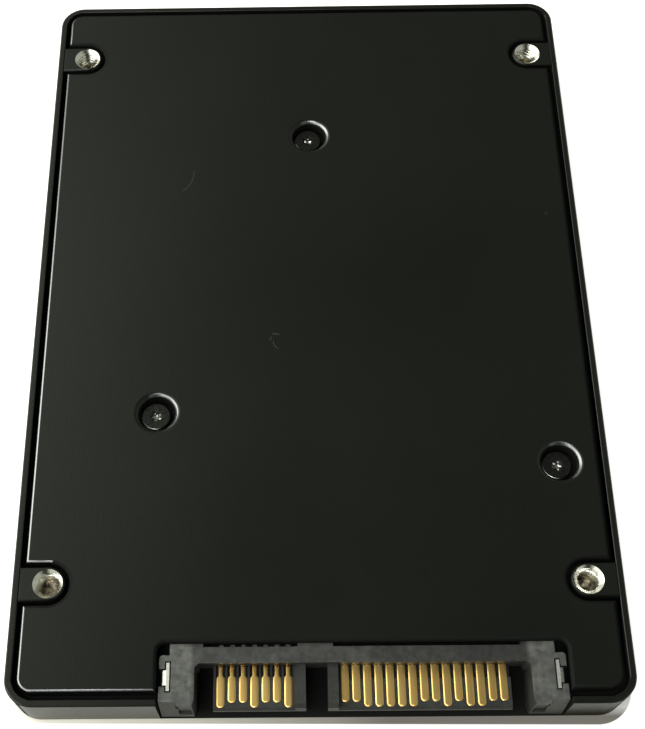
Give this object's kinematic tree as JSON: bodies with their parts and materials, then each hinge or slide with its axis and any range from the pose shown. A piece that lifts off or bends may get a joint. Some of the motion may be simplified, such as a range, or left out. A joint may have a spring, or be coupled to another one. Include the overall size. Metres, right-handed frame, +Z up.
{
  "type": "solid state drive",
  "caption": "Slim rectangular solid state drive in a black metal case, with a screwed cover, threaded mounting holes and a keyed blade connector at one end.",
  "frame": {"origin": "middle of the underside, which is the label side", "axes": "+Y along the length from the connector end to the far end, +X across the width, +Z up through the mounting face"},
  "size_m": [0.0698, 0.1, 0.007],
  "materials": {
    "case_paint": "satin black powder paint on cast aluminium",
    "cover_paint": "satin black paint on drawn sheet",
    "screw_steel": "black zinc",
    "board_laminate": "dark solder mask",
    "connector_plastic": "moulded glass-filled polymer",
    "contact_gold": "gold plate",
    "lock_tin": "bright tin plate",
    "pad_silicone": "soft silicone",
    "capacitor_resin": "moulded resin",
    "crystal_can": "nickel can",
    "inductor_ferrite": "pressed powder",
    "chip_resin": "moulded epoxy"
  },
  "bodies": {
    "root": {"board_lock_left": "lock_tin", "board_lock_right": "lock_tin", "bottom_cover": "cover_paint", "cache_chip": "chip_resin", "circuit_board": "board_laminate", "clock_crystal": "crystal_can", "connector_housing": "connector_plastic", "controller_chip": "chip_resin", "cover_screws": "screw_steel", "flash_chip_1": "chip_resin", "flash_chip_2": "chip_resin", "flash_chip_3": "chip_resin", "flash_chip_4": "chip_resin", "flash_chip_5": "chip_resin", "flash_chip_6": "chip_resin", "flash_chip_7": "chip_resin", "flash_chip_8": "chip_resin", "hold_up_capacitor_1": "capacitor_resin", "hold_up_capacitor_2": "capacitor_resin", "hold_up_capacitor_3": "capacitor_resin", "hold_up_capacitor_4": "capacitor_resin", "hold_up_capacitor_5": "capacitor_resin", "hold_up_capacitor_6": "capacitor_resin", "inductor_1": "inductor_ferrite", "inductor_2": "inductor_ferrite", "main_case": "case_paint", "power_chip": "chip_resin", "power_contact_1": "contact_gold", "power_contact_10": "contact_gold", "power_contact_11": "contact_gold", "power_contact_12": "contact_gold", "power_contact_13": "contact_gold", "power_contact_14": "contact_gold", "power_contact_15": "contact_gold", "power_contact_2": "contact_gold", "power_contact_3": "contact_gold", "power_contact_4": "contact_gold", "power_contact_5": "contact_gold", "power_contact_6": "contact_gold", "power_contact_7": "contact_gold", "power_contact_8": "contact_gold", "power_contact_9": "contact_gold", "signal_contact_1": "contact_gold", "signal_contact_2": "contact_gold", "signal_contact_3": "contact_gold", "signal_contact_4": "contact_gold", "signal_contact_5": "contact_gold", "signal_contact_6": "contact_gold", "signal_contact_7": "contact_gold", "thermal_pad_controller": "pad_silicone", "thermal_pad_left": "pad_silicone", "thermal_pad_right": "pad_silicone"}
  },
  "joints": []
}
